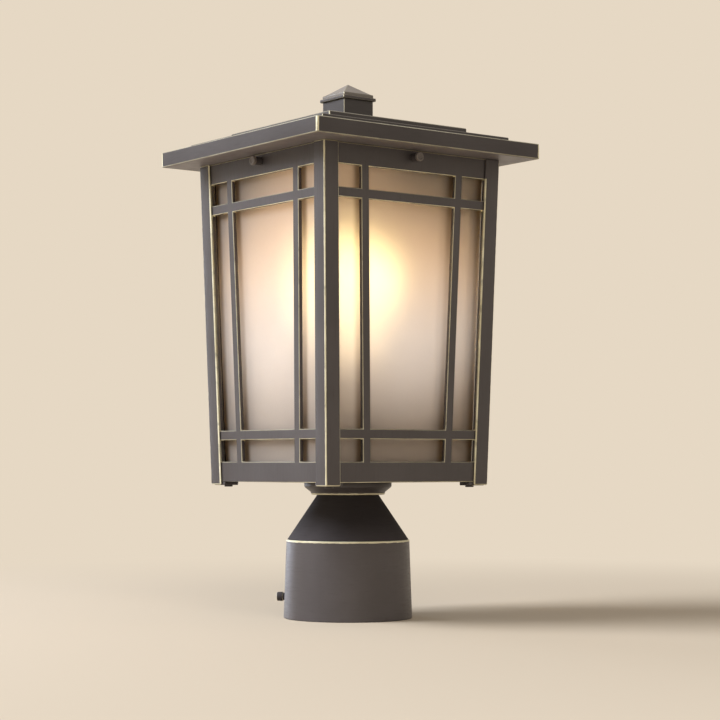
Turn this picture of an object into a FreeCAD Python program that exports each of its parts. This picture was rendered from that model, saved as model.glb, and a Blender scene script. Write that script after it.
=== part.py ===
# Post top lantern: a four-sided glazed lantern with a flat stepped roof, on a round post fitter.
# Millimetres, +Z up. The origin is the centre of the fitter's open rim, where the post goes in.
# The front face looks along -Y. What repeats on the four sides turns about Z in quarter turns.
import FreeCAD
import Part
import math
import os

import Sketcher
from FreeCAD import Placement, Rotation, Vector

# ---------------------------------------------------------------- driving dimensions
SIZES = {
    # Post fitter: a drafted sleeve for the post, with a ledge that stops it
    "bore_radius": 38.5,
    "bore_depth": 48.0,
    "rim_wall": 4.0,
    "shoulder_wall": 2.2,
    "stop_ledge": 2.5,
    "ledge_height": 3.7,
    # Hollow cone that stands on the fitter
    "cone_foot_wall": 1.6,
    "cone_top_radius": 20.3,
    "cone_height": 29.5,
    "cone_wall": 3.5,
    "top_plate": 4.0,
    # Set screws that clamp the post
    "set_screw_level": 13.5,
    "set_screw_radius": 2.4,
    "set_hole_play": 0.15,
    "set_head_radius": 3.0,
    "set_head_length": 4.0,
    "set_head_gap": 1.0,
    "set_tip_gap": 0.2,
    "set_slot_width": 1.0,
    "set_slot_depth": 1.2,
    # Collar between the fitter's cone and the cage
    "collar_foot_radius": 24.5,
    "collar_rim_radius": 29.0,
    "collar_height": 8.5,
    "collar_lip": 1.6,
    "collar_flare": 3.6,
    "collar_wall": 2.0,
    # Cage: its half width at the foot of the posts, and how far each side leans out per mm of height
    "cage_half": 65.65,
    "side_slope": 0.0291,
    "post_height": 214.7,
    "post_drop": 2.0,
    "post_leg": 11.5,
    "post_wall": 1.5,
    "seat_gap": 0.1,
    # Side grilles, level by level from the foot of the posts
    "grille_thickness": 3.0,
    "bottom_rail": 13.0,
    "row_height": 14.4,
    "cross_bar": 6.2,
    "top_rail": 13.5,
    "stile_width": 11.0,
    "bar_width": 6.0,
    "bar_setback": 33.2,
    # Glass panes, behind the grilles
    "pane_gap": 1.6,
    "pane_thickness": 3.0,
    "pane_corner_gap": 0.3,
    "pane_foot_gap": 0.2,
    "pane_overlap": 2.3,
    # Spring clips over the top edge of each pane
    "clip_wall": 0.8,
    "clip_width": 8.0,
    "clip_offset": 22.0,
    "clip_foot": 2.4,
    "clip_leg": 7.0,
    "clip_play": 0.3,
    "clip_headroom": 0.7,
    # Bottom pan, its bead inside the glass, and the corner gussets below it
    "pan_thickness": 1.6,
    "pan_play": 0.4,
    "bead_height": 5.0,
    "bead_width": 1.5,
    "gusset_size": 12.5,
    "gusset_cut": 2.5,
    "gusset_thickness": 2.3,
    "gusset_play": 0.2,
    "gusset_screw_inset": 6.8,
    "small_screw_radius": 1.6,
    "small_screw_play": 0.2,
    "small_head_radius": 2.8,
    "small_head_height": 1.1,
    "small_screw_end_gap": 0.1,
    "ground_screw_x": 14.0,
    "ground_screw_y": 12.0,
    # Threaded riser that ties fitter, collar, pan and lampholder together
    "riser_radius": 4.9,
    "riser_bore": 3.6,
    "riser_play": 0.3,
    "riser_nut_height": 4.0,
    "riser_nut_radius": 8.0,
    "riser_tail": 1.0,
    "washer_thickness": 1.0,
    "washer_radius": 11.0,
    "sleeve_radius": 8.0,
    "sleeve_height": 31.7,
    "riser_entry": 3.0,
    # Lampholder, medium screw base
    "holder_foot_radius": 13.0,
    "holder_radius": 17.5,
    "holder_height": 40.0,
    "holder_chamfer": 6.0,
    "holder_bore": 14.6,
    "holder_floor": 13.0,
    "holder_socket": 5.0,
    "shell_radius": 14.4,
    "shell_wall": 0.5,
    "shell_gap": 0.2,
    "shell_height": 25.8,
    "tongue_radius": 6.0,
    "tongue_thickness": 1.2,
    "terminal_level": 9.0,
    "terminal_radius": 1.7,
    "terminal_depth": 7.0,
    "terminal_head_radius": 3.0,
    "terminal_head": 1.4,
    "terminal_play": 0.1,
    # Lamp bulb
    "bulb_base_radius": 13.2,
    "bulb_base_height": 25.5,
    "bulb_button_radius": 4.5,
    "bulb_button": 2.0,
    "bulb_contact_gap": 0.3,
    "bulb_globe_radius": 30.0,
    "bulb_globe_rise": 53.0,
    # Roof: cover, soffit, skirt and the stepped top
    "roof_half": 90.5,
    "roof_height": 10.1,
    "roof_sheet": 1.5,
    "soffit_play": 0.2,
    "soffit_opening": 63.0,
    "skirt_depth": 8.9,
    "skirt_play": 0.35,
    "skirt_wall": 1.5,
    "step_half": 76.2,
    "step_height": 4.7,
    "tier_half": 56.5,
    "tier_height": 6.9,
    "turret_half": 12.1,
    "turret_height": 19.5,
    "flange_half": 13.55,
    "flange_height": 2.1,
    "cap_half": 12.3,
    "cap_height": 2.2,
    "cap_bevel": 0.6,
    "spire_height": 7.7,
    "spire_tip": 0.25,
    # Tie rod through the turret, with its washer and nut under the cover
    "rod_radius": 2.0,
    "rod_play": 0.3,
    "rod_thread_play": 0.05,
    "rod_entry": 1.5,
    "rod_tail": 1.2,
    "rod_nut_height": 3.2,
    "rod_nut_radius": 4.0,
    "rod_washer_radius": 6.0,
    # Thumb screws in the top rails, whose tips hold the roof's skirt
    "thumb_drop": 5.0,
    "thumb_radius": 1.95,
    "thumb_hole_play": 0.1,
    "thumb_neck_radius": 2.6,
    "thumb_neck_length": 5.0,
    "thumb_neck_gap": 0.3,
    "thumb_head_radius": 3.1,
    "thumb_head_length": 2.1,
    "thumb_dimple_radius": 1.9,
    "thumb_dimple_depth": 0.5,
    "thumb_tip_gap": 0.1,
}

# Sizes worked out from the driving ones: sums of products of named sizes, in order
WORKED = {
    "rim_radius": "bore_radius + rim_wall",
    "shoulder_radius": "bore_radius + shoulder_wall",
    "ledge_radius": "bore_radius - stop_ledge",
    "socket_height": "bore_depth + ledge_height",
    "cone_foot_radius": "bore_radius + cone_foot_wall",
    "set_hole_radius": "set_screw_radius + set_hole_play",
    "riser_hole": "riser_radius + riser_play",
    "fitter_top": "socket_height + cone_height",
    "fitter_ceiling": "fitter_top - top_plate",
    "cone_hollow_top": "cone_top_radius - cone_wall",
    "pan_bottom": "fitter_top + collar_height",
    "pan_top": "pan_bottom + pan_thickness",
    "post_bottom": "pan_bottom - post_drop",
    "cage_top": "post_bottom + post_height",
    "cage_top_half": "cage_half + side_slope*post_height",
    # Depths behind the outer face of the posts
    "grille_front": "post_wall + seat_gap",
    "grille_back": "grille_front + grille_thickness",
    "grille_edge": "grille_back + seat_gap",
    "pane_front": "grille_back + pane_gap",
    "pane_back": "pane_front + pane_thickness",
    "pane_edge": "pane_back + pane_corner_gap",
    # Levels above the foot of the posts
    "rail_bottom": "post_drop + seat_gap",
    "low_row_bottom": "rail_bottom + bottom_rail",
    "low_row_top": "low_row_bottom + row_height",
    "mid_row_bottom": "low_row_top + cross_bar",
    "rail_top": "post_height - 2*seat_gap",
    "high_row_top": "rail_top - top_rail",
    "high_row_bottom": "high_row_top - row_height",
    "mid_row_top": "high_row_bottom - cross_bar",
    "pane_foot": "post_drop + pan_thickness + pane_foot_gap",
    "pane_top": "high_row_top + pane_overlap",
    "thumb_level": "post_height - thumb_drop",
    # Distances from the corner line to the two edges of an upright bar
    "bar_outer": "bar_setback - 0.5*bar_width",
    "bar_inner": "bar_setback + 0.5*bar_width",
    "pan_half": "cage_half - grille_back - pan_play",
    "bead_half": "cage_half - pane_back - pan_play",
    "gusset_corner": "cage_half - post_wall - gusset_play",
    "gusset_screw_at": "gusset_corner - gusset_screw_inset",
    "small_hole": "small_screw_radius + small_screw_play",
    "small_screw_length": "gusset_thickness + pan_thickness - small_screw_end_gap",
    "riser_foot": "fitter_ceiling - riser_nut_height - riser_tail",
    "sleeve_foot": "pan_top + washer_thickness + riser_nut_height",
    "holder_foot": "sleeve_foot + sleeve_height",
    "holder_top": "holder_foot + holder_height",
    "holder_seat": "holder_foot + holder_floor",
    "riser_top": "holder_foot + riser_entry",
    "tongue_top": "holder_seat + tongue_thickness",
    "bulb_foot": "tongue_top + bulb_contact_gap",
    "bulb_base_foot": "bulb_foot + bulb_button",
    "bulb_neck": "bulb_base_foot + bulb_base_height",
    "bulb_centre": "bulb_neck + bulb_globe_rise",
    # Roof levels
    "cover_top": "cage_top + roof_height",
    "cover_ceiling": "cover_top - roof_sheet",
    "step_top": "cover_top + step_height",
    "tier_top": "step_top + tier_height",
    "turret_top": "tier_top + turret_height",
    "flange_top": "turret_top + flange_height",
    "cap_top": "flange_top + cap_height",
    "skirt_bottom": "cage_top - skirt_depth",
    "skirt_half": "cage_top_half - side_slope*skirt_depth - grille_back - skirt_play",
    "rod_hole": "rod_radius + rod_play",
    "rod_top": "flange_top + rod_entry",
    "rod_nut_top": "cover_ceiling - washer_thickness",
    "rod_foot": "rod_nut_top - rod_nut_height - rod_tail",
    "thumb_hole": "thumb_radius + thumb_hole_play",
    "thumb_height": "cage_top - thumb_drop",
    # Distances from the lantern's axis along a thumb screw
    "rail_face": "cage_half + side_slope*thumb_level - grille_front",
    "thumb_neck_at": "rail_face + thumb_neck_gap",
    "thumb_head_at": "thumb_neck_at + thumb_neck_length",
    "thumb_end": "thumb_head_at + thumb_head_length",
    "thumb_tip_at": "skirt_half + thumb_tip_gap",
}

SIDES = ("front", "right", "back", "left")
CORNERS = ("front_left", "front_right", "back_right", "back_left")
DRIVING_SHEET = "Sizes"
WORKED_SHEET = "Worked"

doc = FreeCAD.newDocument("PostTopLantern")
values = {}
nodes = []


# ---------------------------------------------------------------- sizes and formulas
def length(text):
    """Value of a sum of products of named sizes and plain numbers, such as 'rim_radius - 0.5*cone_wall'."""
    total = 0.0
    sign = 1.0
    for word in text.split():
        if word in ("+", "-"):
            sign = 1.0 if word == "+" else -1.0
            continue
        product = sign
        for factor in word.split("*"):
            product *= values[factor] if factor in values else float(factor)
        total += product
    return total


def formula(text):
    """The same sum as a FreeCAD expression on the two sheets."""
    words = []
    for word in text.split():
        factors = []
        for factor in word.split("*"):
            sheet = DRIVING_SHEET if factor in SIZES else WORKED_SHEET
            factors.append(f"{sheet}.{factor}" if factor in values else factor)
        words.append(" * ".join(factors))
    return " ".join(words)


def make_sheets():
    """The driving sheet holds plain numbers, and the worked sheet holds sums of them."""
    driving = doc.addObject("Spreadsheet::Sheet", DRIVING_SHEET)
    for row, (alias, value) in enumerate(SIZES.items(), start=1):
        driving.set(f"A{row}", alias)
        driving.set(f"B{row}", str(value))
        driving.setAlias(f"B{row}", alias)
        values[alias] = value
    worked = doc.addObject("Spreadsheet::Sheet", WORKED_SHEET)
    for row, (alias, text) in enumerate(WORKED.items(), start=1):
        worked.set(f"A{row}", alias)
        worked.set(f"B{row}", "=" + formula(text))
        worked.setAlias(f"B{row}", alias)
        values[alias] = length(text)
    doc.recompute()


def bind(item, name, text):
    """Ties a property to a sum of named sizes."""
    item.setExpression(name, formula(text))


# ---------------------------------------------------------------- sketches
def origin_plane(body, role):
    for feature in body.Origin.OriginFeatures:
        if feature.Role == role:
            return feature
    raise ValueError(role)


def new_sketch(body, role, offset=None):
    """A sketch on one of the body's origin planes, moved along the plane's normal by a named offset."""
    sketch = body.newObject("Sketcher::SketchObject", body.Label + "_sketch")
    sketch.AttachmentSupport = [(origin_plane(body, role), "")]
    sketch.MapMode = "FlatFace"
    if offset:
        bind(sketch, "AttachmentOffset.Base.z", offset)
    return sketch


def place_point(sketch, edge, end, across, up):
    """Fixes a point at a named distance across and up from the sketch's origin."""
    for kind, axis, text in (("DistanceX", -2, across), ("DistanceY", -1, up)):
        if text == "0":
            sketch.addConstraint(Sketcher.Constraint("PointOnObject", edge, end, axis))
            continue
        sketch.addConstraint(Sketcher.Constraint(kind, -1, 1, edge, end, length(text)))
        bind(sketch, f"Constraints[{sketch.ConstraintCount - 1}]", text)


def add_outline(sketch, corners):
    """A closed outline of straight edges through corners, each a pair of sums of named sizes."""
    points = [Vector(length(across), length(up), 0) for across, up in corners]
    first = sketch.GeometryCount
    count = len(points)
    for index, point in enumerate(points):
        sketch.addGeometry(Part.LineSegment(point, points[(index + 1) % count]), False)
    for index in range(count):
        following = first + (index + 1) % count
        sketch.addConstraint(Sketcher.Constraint("Coincident", first + index, 2, following, 1))
    for index, (across, up) in enumerate(corners):
        place_point(sketch, first + index, 1, across, up)


def add_circle(sketch, across, up, radius):
    centre = Vector(length(across), length(up), 0)
    edge = sketch.addGeometry(Part.Circle(centre, Vector(0, 0, 1), length(radius)), False)
    place_point(sketch, edge, 3, across, up)
    sketch.addConstraint(Sketcher.Constraint("Radius", edge, length(radius)))
    bind(sketch, f"Constraints[{sketch.ConstraintCount - 1}]", radius)


def minus(text):
    """The same sum with every sign turned round."""
    turned = {"+": "-", "-": "+"}
    words = [turned.get(word, word) for word in text.split()]
    if words[0] == "+":
        return " ".join(words[1:])
    if words[0] == "-":
        return " ".join(words)
    return "- " + " ".join(words)


def square(half):
    """The four corners of a square about the axis."""
    return ((minus(half), minus(half)), (half, minus(half)), (half, half), (minus(half), half))


# ---------------------------------------------------------------- bodies and features
def new_body(label):
    body = doc.addObject("PartDesign::Body", label)
    body.Label = label
    nodes.append(body)
    return body


def extrude(body, kind, sketch, depth, backwards=False):
    """A Pad or Pocket of a named depth."""
    feature = body.newObject("PartDesign::" + kind, f"{body.Label}_{kind.lower()}")
    feature.Profile = sketch
    bind(feature, "Length", depth)
    feature.Reversed = backwards
    sketch.Visibility = False
    doc.recompute()
    return feature


def turn(label, profile):
    """A body turned about Z from a profile of (radius, level) corners."""
    body = new_body(label)
    sketch = new_sketch(body, "XZ_Plane")
    add_outline(sketch, profile)
    revolve(body, sketch)
    return body


def revolve(body, sketch):
    feature = body.newObject("PartDesign::Revolution", body.Label + "_revolution")
    feature.Profile = sketch
    feature.ReferenceAxis = (sketch, ["V_Axis"])
    feature.Angle = 360.0
    doc.recompute()


def place(item, steps):
    """Ties a placement to a product of (x, y, z, axis, angle) steps written as FreeCAD expressions."""
    parts = []
    for across, along, up, axis, angle in steps:
        turned = f"rotation(vector({axis}); {angle})"
        parts.append(f"placement(vector({across}; {along}; {up}); {turned})")
    item.setExpression("Placement", " * ".join(parts))


def place_on_side(item, quarter):
    """Stands a piece in the leaning frame of one side: X across, Y inwards, Z up the slope."""
    lean = f"atan({formula('side_slope')})"
    foot = formula("post_bottom")
    face = "-" + formula("cage_half")
    place(item, (("0", "0", "0", "0; 0; 1", 90 * quarter), ("0", face, foot, "1; 0; 0", lean)))


def place_turned(item, quarter, up="0"):
    """Turns a piece about the lantern's axis by quarter turns, at a named level."""
    level = "0" if up == "0" else formula(up)
    place(item, (("0", "0", level, "0; 0; 1", 90 * quarter),))


def copies(label, source, placements):
    """Identical pieces as separate solids in one node, copied from a finished piece."""
    doc.recompute()
    node = doc.addObject("Part::Feature", label)
    node.Label = label
    node.Shape = Part.makeCompound([source.transformed(spot.toMatrix(), True) for spot in placements])
    nodes.append(node)
    return node


def quarter_turns():
    return [Placement(Vector(), Rotation(Vector(0, 0, 1), 90.0 * quarter)) for quarter in range(4)]


# ---------------------------------------------------------------- fitter, cone, collar and riser
def make_fitter():
    """Sleeve that goes over the post, with its stop ledge and a hole for each of the two set screws."""
    body = turn("post_fitter", (
        ("bore_radius", "0"),
        ("rim_radius", "0"),
        ("shoulder_radius", "socket_height"),
        ("ledge_radius", "socket_height"),
        ("ledge_radius", "bore_depth"),
        ("bore_radius", "bore_depth"),
    ))
    sketch = new_sketch(body, "XZ_Plane")
    add_circle(sketch, "0", "set_screw_level", "set_hole_radius")
    hole = extrude(body, "Pocket", sketch, "rim_radius + set_head_gap")
    pattern = body.newObject("PartDesign::PolarPattern", "post_fitter_holes")
    pattern.Originals = [hole]
    pattern.Axis = (origin_plane(body, "Z_Axis"), [""])
    pattern.Angle = 90.0
    pattern.Reversed = True
    pattern.Occurrences = 2
    body.Tip = pattern
    place(body, (("0", "0", "0", "0; 0; 1", "45"),))


def make_cone():
    """Hollow cone that stands on the fitter's top edge."""
    turn("fitter_cone", (
        ("ledge_radius", "socket_height"),
        ("cone_foot_radius", "socket_height"),
        ("cone_top_radius", "fitter_top"),
        ("riser_hole", "fitter_top"),
        ("riser_hole", "fitter_ceiling"),
        ("cone_hollow_top", "fitter_ceiling"),
    ))


def make_collar():
    """Spun dish that carries the cage on the cone."""
    turn("fitter_collar", (
        ("riser_hole", "fitter_top"),
        ("collar_foot_radius", "fitter_top"),
        ("collar_foot_radius", "fitter_top + collar_lip"),
        ("collar_rim_radius", "fitter_top + collar_lip + collar_flare"),
        ("collar_rim_radius", "pan_bottom"),
        ("collar_rim_radius - collar_wall", "pan_bottom"),
        ("collar_rim_radius - collar_wall", "fitter_top + collar_wall + collar_flare"),
        ("collar_foot_radius - collar_wall", "fitter_top + collar_wall"),
        ("riser_hole", "fitter_top + collar_wall"),
    ))


def tube(label, inner, outer, bottom, top):
    turn(label, ((inner, bottom), (outer, bottom), (outer, top), (inner, top)))


def hex_nut(label, radius, hole, bottom, height):
    """Hexagon nut with a plain hole, about the lantern's axis."""
    prism = doc.addObject("Part::Prism", label + "_prism")
    prism.Polygon = 6
    bind(prism, "Circumradius", radius)
    bind(prism, "Height", height)
    bind(prism, "Placement.Base.z", bottom)
    drill = doc.addObject("Part::Cylinder", label + "_drill")
    bind(drill, "Radius", hole)
    bind(drill, "Height", height)
    bind(drill, "Placement.Base.z", bottom)
    nut = doc.addObject("Part::Cut", label)
    nut.Label = label
    nut.Base = prism
    nut.Tool = drill
    nodes.append(nut)


def make_riser():
    tube("riser_tube", "riser_bore", "riser_radius", "riser_foot", "riser_top")
    hex_nut("riser_nut_lower", "riser_nut_radius", "riser_hole", "fitter_ceiling - riser_nut_height",
            "riser_nut_height")
    tube("riser_washer", "riser_hole", "washer_radius", "pan_top", "pan_top + washer_thickness")
    hex_nut("riser_nut_upper", "riser_nut_radius", "riser_hole", "pan_top + washer_thickness",
            "riser_nut_height")
    tube("riser_sleeve", "riser_hole", "sleeve_radius", "sleeve_foot", "holder_foot")


def make_set_screws():
    """Two slotted screws, a quarter turn apart, that clamp the post."""
    shank_start = "bore_radius + set_tip_gap"
    head_start = "rim_radius + set_head_gap"
    head_end = "rim_radius + set_head_gap + set_head_length"
    for index, heading in enumerate((135, 45), start=1):
        body = turn(f"set_screw_{index}", (
            ("0", shank_start),
            ("set_screw_radius", shank_start),
            ("set_screw_radius", head_start),
            ("set_head_radius", head_start),
            ("set_head_radius", head_end),
            ("0", head_end),
        ))
        sketch = new_sketch(body, "XY_Plane", head_end)
        across = "0.5*set_slot_width"
        along = "2*set_head_radius"
        add_outline(sketch, ((f"- {along}", f"- {across}"), (along, f"- {across}"),
                             (along, across), (f"- {along}", across)))
        extrude(body, "Pocket", sketch, "set_slot_depth")
        level = formula("set_screw_level")
        place(body, (("0", "0", level, "0; 0; 1", heading), ("0", "0", "0", "0; 1; 0", 90)))


# ---------------------------------------------------------------- cage
def add_angle_section(sketch, half):
    """L section with its outer corner on the front left corner of the cage."""
    outer = minus(half)
    inner = f"{outer} + post_wall"
    end = f"{outer} + post_leg"
    add_outline(sketch, ((outer, outer), (end, outer), (end, inner), (inner, inner), (inner, end), (outer, end)))


def make_posts():
    """Angle posts that lean out with both of their faces."""
    for quarter, corner in enumerate(CORNERS):
        body = new_body(f"corner_post_{corner}")
        foot = new_sketch(body, "XY_Plane")
        add_angle_section(foot, "cage_half")
        head = new_sketch(body, "XY_Plane", "post_height")
        add_angle_section(head, "cage_top_half")
        loft = body.newObject("PartDesign::AdditiveLoft", body.Label + "_loft")
        loft.Profile = foot
        loft.Sections = [head]
        loft.Ruled = True
        doc.recompute()
        place_turned(body, quarter, "post_bottom")


def side_corners(setback, bottom, top):
    """Corners of a panel that follows the lean of the cage, a named distance in from the corner lines."""
    low = f"cage_half + side_slope*{bottom} - {setback}"
    high = f"cage_half + side_slope*{top} - {setback}"
    return ((minus(low), bottom), (low, bottom), (high, top), (minus(high), top))


def window_corners(bottom, top, left, right):
    """Corners of one window: its edges are (side, setback) pairs that follow the lean of the cage."""
    def across(edge, level):
        side, setback = edge
        reach = f"cage_half + side_slope*{level} - {setback}"
        return reach if side > 0 else minus(reach)

    return ((across(left, bottom), bottom), (across(right, bottom), bottom),
            (across(right, top), top), (across(left, top), top))


def make_grilles():
    """Pierced side frames: nine windows each, and a hole for the thumb screw in the top rail."""
    rows = (("low_row_bottom", "low_row_top"), ("mid_row_bottom", "mid_row_top"),
            ("high_row_bottom", "high_row_top"))
    columns = (((-1, "stile_width"), (-1, "bar_outer")), ((-1, "bar_inner"), (1, "bar_inner")),
               ((1, "bar_outer"), (1, "stile_width")))
    for quarter, side in enumerate(SIDES):
        body = new_body(f"side_grille_{side}")
        panel = new_sketch(body, "XZ_Plane", "- grille_front")
        add_outline(panel, side_corners("grille_edge", "rail_bottom", "rail_top"))
        extrude(body, "Pad", panel, "grille_thickness", True)
        windows = new_sketch(body, "XZ_Plane", "- grille_front")
        for bottom, top in rows:
            for left, right in columns:
                add_outline(windows, window_corners(bottom, top, left, right))
        add_circle(windows, "0", "thumb_level", "thumb_hole")
        extrude(body, "Pocket", windows, "grille_thickness")
        place_on_side(body, quarter)


def make_panes():
    for quarter, side in enumerate(SIDES):
        body = new_body(f"glass_pane_{side}")
        sketch = new_sketch(body, "XZ_Plane", "- pane_front")
        add_outline(sketch, side_corners("pane_edge", "pane_foot", "pane_top"))
        extrude(body, "Pad", sketch, "pane_thickness", True)
        place_on_side(body, quarter)


def make_clips():
    """Spring clips, two to a side, that reach from the top rail over the edge of the pane."""
    clip = doc.addObject("PartDesign::Body", "clip_pattern")
    sketch = new_sketch(clip, "YZ_Plane", "clip_offset - 0.5*clip_width")
    rail = "grille_back + 0.5*seat_gap"
    behind = "pane_back + clip_play"
    roof = "pane_top + clip_headroom"
    add_outline(sketch, (
        (rail, f"{roof} - clip_foot"),
        (f"{rail} + clip_wall", f"{roof} - clip_foot"),
        (f"{rail} + clip_wall", roof),
        (behind, roof),
        (behind, f"{roof} - clip_leg"),
        (f"{behind} + clip_wall", f"{roof} - clip_leg"),
        (f"{behind} + clip_wall", f"{roof} + clip_wall"),
        (rail, f"{roof} + clip_wall"),
    ))
    extrude(clip, "Pad", sketch, "clip_width")
    lean = Rotation(Vector(1, 0, 0), math.degrees(math.atan(length("side_slope"))))
    stand = Placement(Vector(0, -length("cage_half"), length("post_bottom")), lean)
    shift = Placement(Vector(-2 * length("clip_offset"), 0, 0), Rotation())
    spots = [turned * stand * slide for turned in quarter_turns() for slide in (Placement(), shift)]
    copies("pane_clips", clip.Shape, spots)


def make_pan():
    """Floor of the cage, with the raised bead that keeps the panes in place."""
    body = new_body("bottom_pan")
    floor = new_sketch(body, "XY_Plane", "pan_bottom")
    add_outline(floor, square("pan_half"))
    add_circle(floor, "0", "0", "riser_hole")
    add_circle(floor, "ground_screw_x", "- ground_screw_y", "small_hole")
    for across, up in square("gusset_screw_at"):
        add_circle(floor, across, up, "small_hole")
    extrude(body, "Pad", floor, "pan_thickness")
    bead = new_sketch(body, "XY_Plane", "pan_top")
    add_outline(bead, square("bead_half"))
    add_outline(bead, square("bead_half - bead_width"))
    extrude(body, "Pad", bead, "bead_height")


def make_gussets():
    """Corner plates under the pan, one to each post, and the screws that hold them to it."""
    plate = doc.addObject("PartDesign::Body", "gusset_pattern")
    sketch = new_sketch(plate, "XY_Plane", "pan_bottom - gusset_thickness")
    near = "- gusset_corner"
    far = f"{near} + gusset_size"
    cut = f"{far} - gusset_cut"
    add_outline(sketch, ((near, near), (far, near), (far, cut), (cut, far), (near, far)))
    add_circle(sketch, "- gusset_screw_at", "- gusset_screw_at", "small_hole")
    extrude(plate, "Pad", sketch, "gusset_thickness")
    copies("corner_gussets", plate.Shape, quarter_turns())

    screw = small_screw_pattern()
    corner = length("gusset_screw_at")
    level = length("pan_bottom - gusset_thickness")
    under = Placement(Vector(-corner, -corner, level), Rotation())
    copies("gusset_screws", screw.Shape, [turned * under for turned in quarter_turns()])
    upside_down = Rotation(Vector(1, 0, 0), 180)
    ground = Vector(length("ground_screw_x"), -length("ground_screw_y"), length("pan_top"))
    copies("ground_screw", screw.Shape, [Placement(ground, upside_down)])


def small_screw_pattern():
    """Pan-head screw that points up, with the seat of its head at the origin. It ends inside the pan."""
    screw = doc.addObject("PartDesign::Body", "small_screw_pattern")
    sketch = new_sketch(screw, "XZ_Plane")
    add_outline(sketch, (
        ("0", "- small_head_height"),
        ("small_head_radius", "- small_head_height"),
        ("small_head_radius", "0"),
        ("small_screw_radius", "0"),
        ("small_screw_radius", "small_screw_length"),
        ("0", "small_screw_length"),
    ))
    revolve(screw, sketch)
    return screw


# ---------------------------------------------------------------- lampholder and bulb
def make_holder():
    """Glazed holder body with its screw shell, centre contact and two terminal screws."""
    body = turn("socket_body", (
        ("riser_hole", "holder_foot"),
        ("holder_foot_radius", "holder_foot"),
        ("holder_radius", "holder_foot + holder_chamfer"),
        ("holder_radius", "holder_top"),
        ("holder_bore", "holder_top"),
        ("holder_bore", "holder_seat"),
        ("riser_bore", "holder_seat"),
        ("riser_bore", "holder_foot + holder_socket"),
        ("riser_hole", "holder_foot + holder_socket"),
    ))
    sketch = new_sketch(body, "XZ_Plane", "holder_radius + terminal_play")
    add_circle(sketch, "0", "holder_foot + terminal_level", "terminal_radius + terminal_play")
    drilled = extrude(body, "Pocket", sketch, "terminal_depth + 2*terminal_play")
    pattern = body.newObject("PartDesign::PolarPattern", "socket_body_holes")
    pattern.Originals = [drilled]
    pattern.Axis = (origin_plane(body, "Z_Axis"), [""])
    pattern.Occurrences = 2
    body.Tip = pattern

    shell_foot = "holder_seat + shell_gap"
    tube("socket_shell", "shell_radius - shell_wall", "shell_radius", shell_foot,
         f"{shell_foot} + shell_height")
    turn("socket_contact", (("0", "holder_seat"), ("tongue_radius", "holder_seat"),
                            ("tongue_radius", "tongue_top"), ("0", "tongue_top")))

    screw = doc.addObject("PartDesign::Body", "terminal_pattern")
    outline = new_sketch(screw, "XZ_Plane")
    add_outline(outline, (
        ("0", "- terminal_depth"),
        ("terminal_radius", "- terminal_depth"),
        ("terminal_radius", "0"),
        ("terminal_head_radius", "0"),
        ("terminal_head_radius", "terminal_head"),
        ("0", "terminal_head"),
    ))
    revolve(screw, outline)
    reach = length("holder_radius + terminal_play")
    level = length("holder_foot + terminal_level")
    facing = Placement(Vector(0, -reach, level), Rotation(Vector(1, 0, 0), 90))
    copies("terminal_screws", screw.Shape, [turned * facing for turned in quarter_turns()[::2]])


def make_bulb():
    """Pear-shaped bulb: a round globe on a cone that runs into it without a crease, over a metal base."""
    body = new_body("bulb_envelope")
    sketch = new_sketch(body, "XZ_Plane")
    neck = length("bulb_neck")
    centre = length("bulb_centre")
    radius = length("bulb_globe_radius")
    throat = length("bulb_base_radius")
    reach = math.hypot(throat, centre - neck)
    tilt = math.asin(radius / reach) - math.atan(throat / (centre - neck))
    touch = Vector(radius * math.cos(tilt), centre - radius * math.sin(tilt), 0)
    base = Vector(0, neck, 0)
    edge = Vector(throat, neck, 0)
    crown = Vector(0, centre + radius, 0)
    circle = Part.Circle(Vector(0, centre, 0), Vector(0, 0, 1), radius)
    globe = Part.ArcOfCircle(circle, -tilt, math.pi / 2)
    sketch.addGeometry([Part.LineSegment(base, edge), Part.LineSegment(edge, touch), globe,
                        Part.LineSegment(crown, base)], False)
    for first, end, second, start in ((0, 2, 1, 1), (2, 2, 3, 1), (3, 2, 0, 1)):
        sketch.addConstraint(Sketcher.Constraint("Coincident", first, end, second, start))
    sketch.addConstraint(Sketcher.Constraint("Tangent", 1, 2, 2, 1))
    place_point(sketch, 0, 1, "0", "bulb_neck")
    place_point(sketch, 0, 2, "bulb_base_radius", "bulb_neck")
    place_point(sketch, 2, 3, "0", "bulb_centre")
    sketch.addConstraint(Sketcher.Constraint("Radius", 2, radius))
    bind(sketch, f"Constraints[{sketch.ConstraintCount - 1}]", "bulb_globe_radius")
    sketch.addConstraint(Sketcher.Constraint("PointOnObject", 3, 1, -2))
    revolve(body, sketch)

    turn("bulb_base", (("0", "bulb_base_foot"), ("bulb_button_radius", "bulb_base_foot"),
                       ("bulb_base_radius", "bulb_base_foot + bulb_button"), ("bulb_base_radius", "bulb_neck"),
                       ("0", "bulb_neck")))
    turn("bulb_contact", (("0", "bulb_foot"), ("bulb_button_radius", "bulb_foot"),
                          ("bulb_button_radius", "bulb_base_foot"), ("0", "bulb_base_foot")))


# ---------------------------------------------------------------- roof
def tray(label, half, bottom, height):
    """Folded square cover, open underneath, with a hole for the tie rod."""
    body = new_body(label)
    block = new_sketch(body, "XY_Plane", bottom)
    add_outline(block, square(half))
    add_circle(block, "0", "0", "rod_hole")
    extrude(body, "Pad", block, height)
    hollow = new_sketch(body, "XY_Plane", bottom)
    add_outline(hollow, square(f"{half} - roof_sheet"))
    extrude(body, "Pocket", hollow, f"{height} - roof_sheet", True)


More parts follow.
